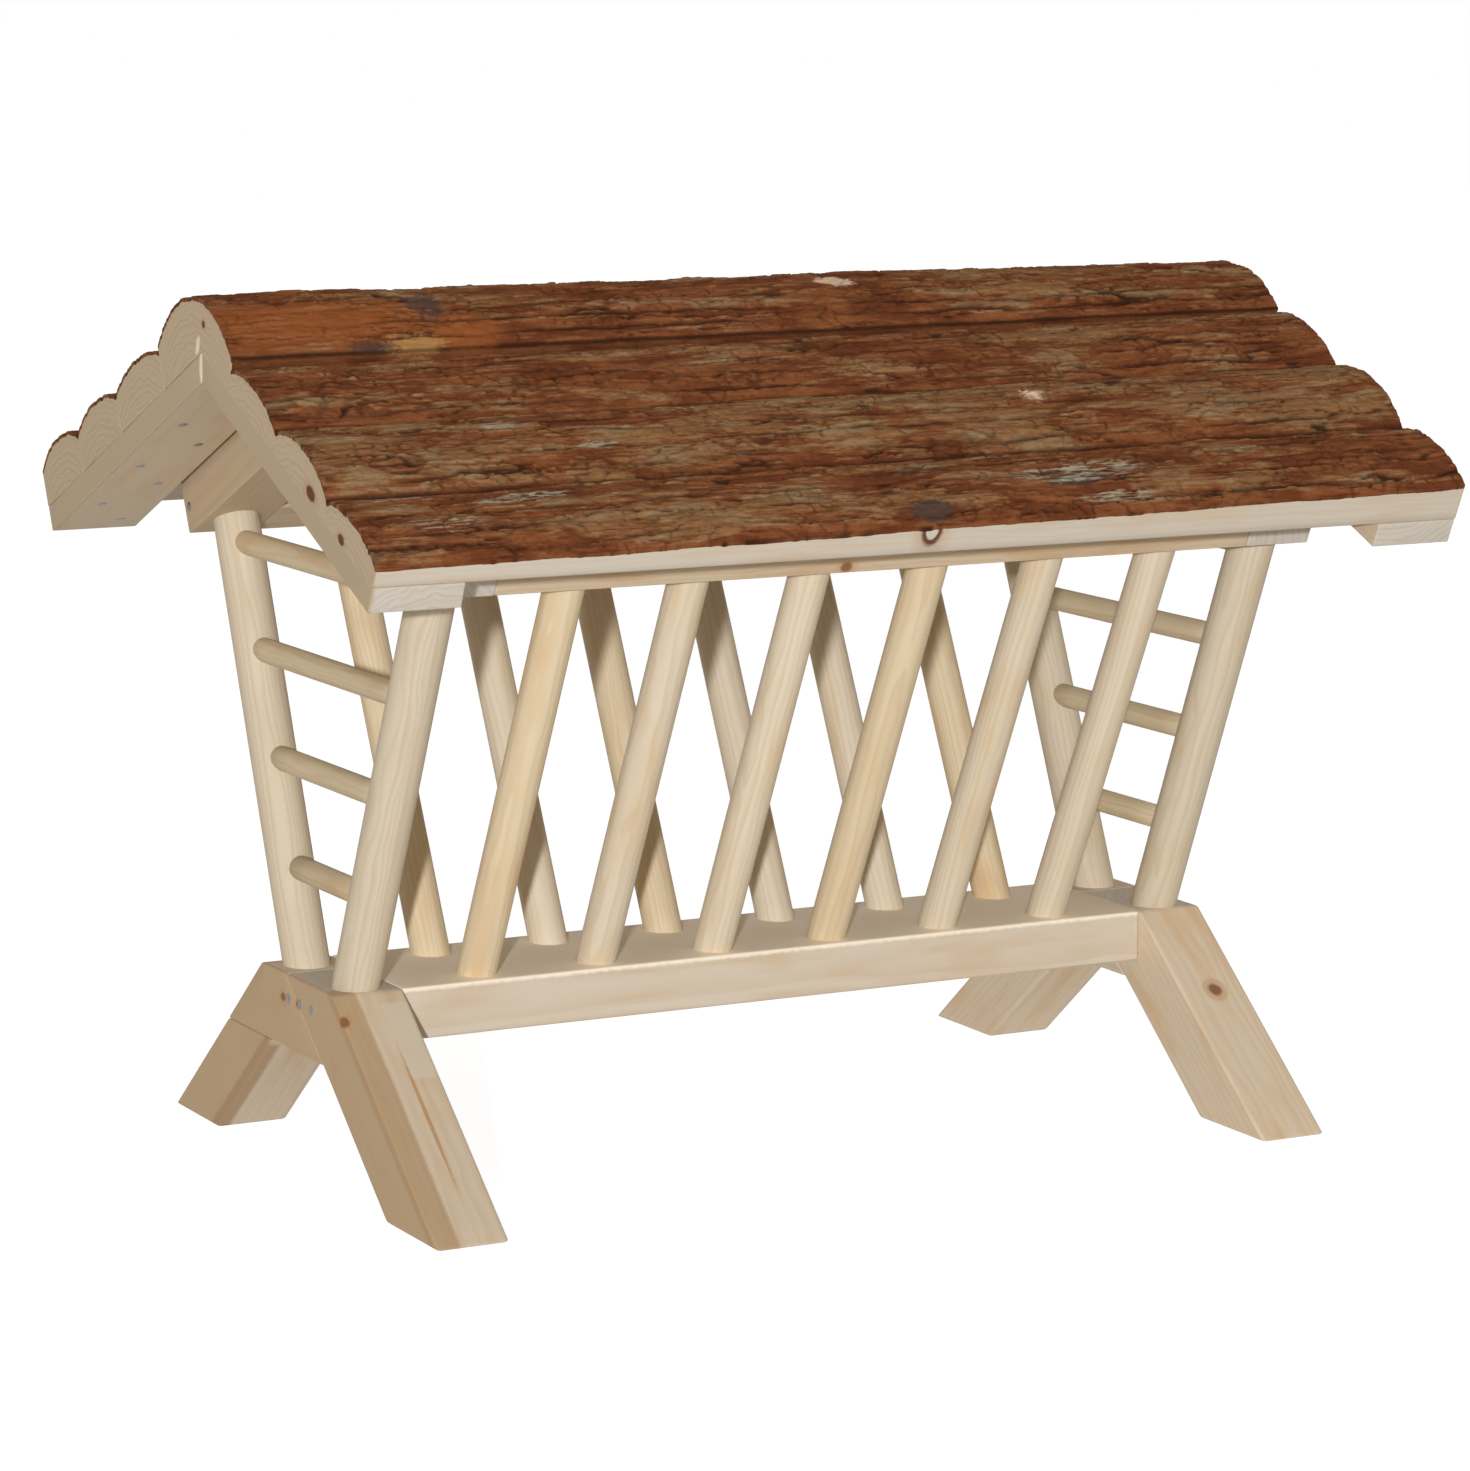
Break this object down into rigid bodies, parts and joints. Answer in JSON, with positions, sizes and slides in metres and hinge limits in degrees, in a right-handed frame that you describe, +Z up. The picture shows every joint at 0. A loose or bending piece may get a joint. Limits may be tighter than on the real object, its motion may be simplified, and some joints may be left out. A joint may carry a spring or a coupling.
{
  "type": "hay feeder",
  "caption": "Wooden hay rack for small animals: leaning rows of round rods and end rungs on splayed trestles, under a lift-off pitched roof of bark slabs.",
  "frame": {"origin": "middle of the whole feeder's outline, which the roof sets, on the ground. The rack's own middle is 6 mm in front of it, because the roof's back slope is longer", "axes": "+X along the feeder to its right end, +Y from its front to its back, +Z up"},
  "size_m": [0.473, 0.3494, 0.3489],
  "materials": {
    "planed_bar_wood": "planed pale softwood, bare",
    "rail_wood": "planed softwood, a little browner, bare",
    "round_rod_wood": "turned pale softwood rod, bare",
    "bark_slab_wood": "half-round slab with reddish-brown scaly bark on top and pale sawn wood below and at the ends",
    "nail_steel": "dull wire nail"
  },
  "bodies": {
    "rack": {"back_dowel_1": "round_rod_wood", "back_dowel_2": "round_rod_wood", "back_dowel_3": "round_rod_wood", "back_dowel_4": "round_rod_wood", "back_dowel_5": "round_rod_wood", "back_dowel_6": "round_rod_wood", "back_left_leg": "planed_bar_wood", "back_left_post": "round_rod_wood", "back_left_rafter": "planed_bar_wood", "back_rail": "rail_wood", "back_right_leg": "planed_bar_wood", "back_right_post": "round_rod_wood", "back_right_rafter": "planed_bar_wood", "base_plank": "planed_bar_wood", "front_dowel_1": "round_rod_wood", "front_dowel_2": "round_rod_wood", "front_dowel_3": "round_rod_wood", "front_dowel_4": "round_rod_wood", "front_dowel_5": "round_rod_wood", "front_dowel_6": "round_rod_wood", "front_left_leg": "planed_bar_wood", "front_left_post": "round_rod_wood", "front_left_rafter": "planed_bar_wood", "front_rail": "rail_wood", "front_right_leg": "planed_bar_wood", "front_right_post": "round_rod_wood", "front_right_rafter": "planed_bar_wood", "left_cross_bar": "planed_bar_wood", "left_rung_1": "round_rod_wood", "left_rung_2": "round_rod_wood", "left_rung_3": "round_rod_wood", "left_rung_4": "round_rod_wood", "plank_nails": "nail_steel", "rail_nails": "nail_steel", "right_cross_bar": "planed_bar_wood", "right_rung_1": "round_rod_wood", "right_rung_2": "round_rod_wood", "right_rung_3": "round_rod_wood", "right_rung_4": "round_rod_wood"},
    "roof": {"back_bark_slab_1": "bark_slab_wood", "back_bark_slab_2": "bark_slab_wood", "back_bark_slab_3": "bark_slab_wood", "back_left_batten": "planed_bar_wood", "back_right_batten": "planed_bar_wood", "batten_nails": "nail_steel", "front_bark_slab_1": "bark_slab_wood", "front_bark_slab_2": "bark_slab_wood", "front_bark_slab_3": "bark_slab_wood", "front_left_batten": "planed_bar_wood", "front_right_batten": "planed_bar_wood", "ridge_bark_slab": "bark_slab_wood"}
  },
  "joints": [
    {"name": "roof_lift", "type": "slide", "parent": "rack", "child": "roof", "axis": [0, 0, 1], "range_m": [0, 0.1]}
  ]
}
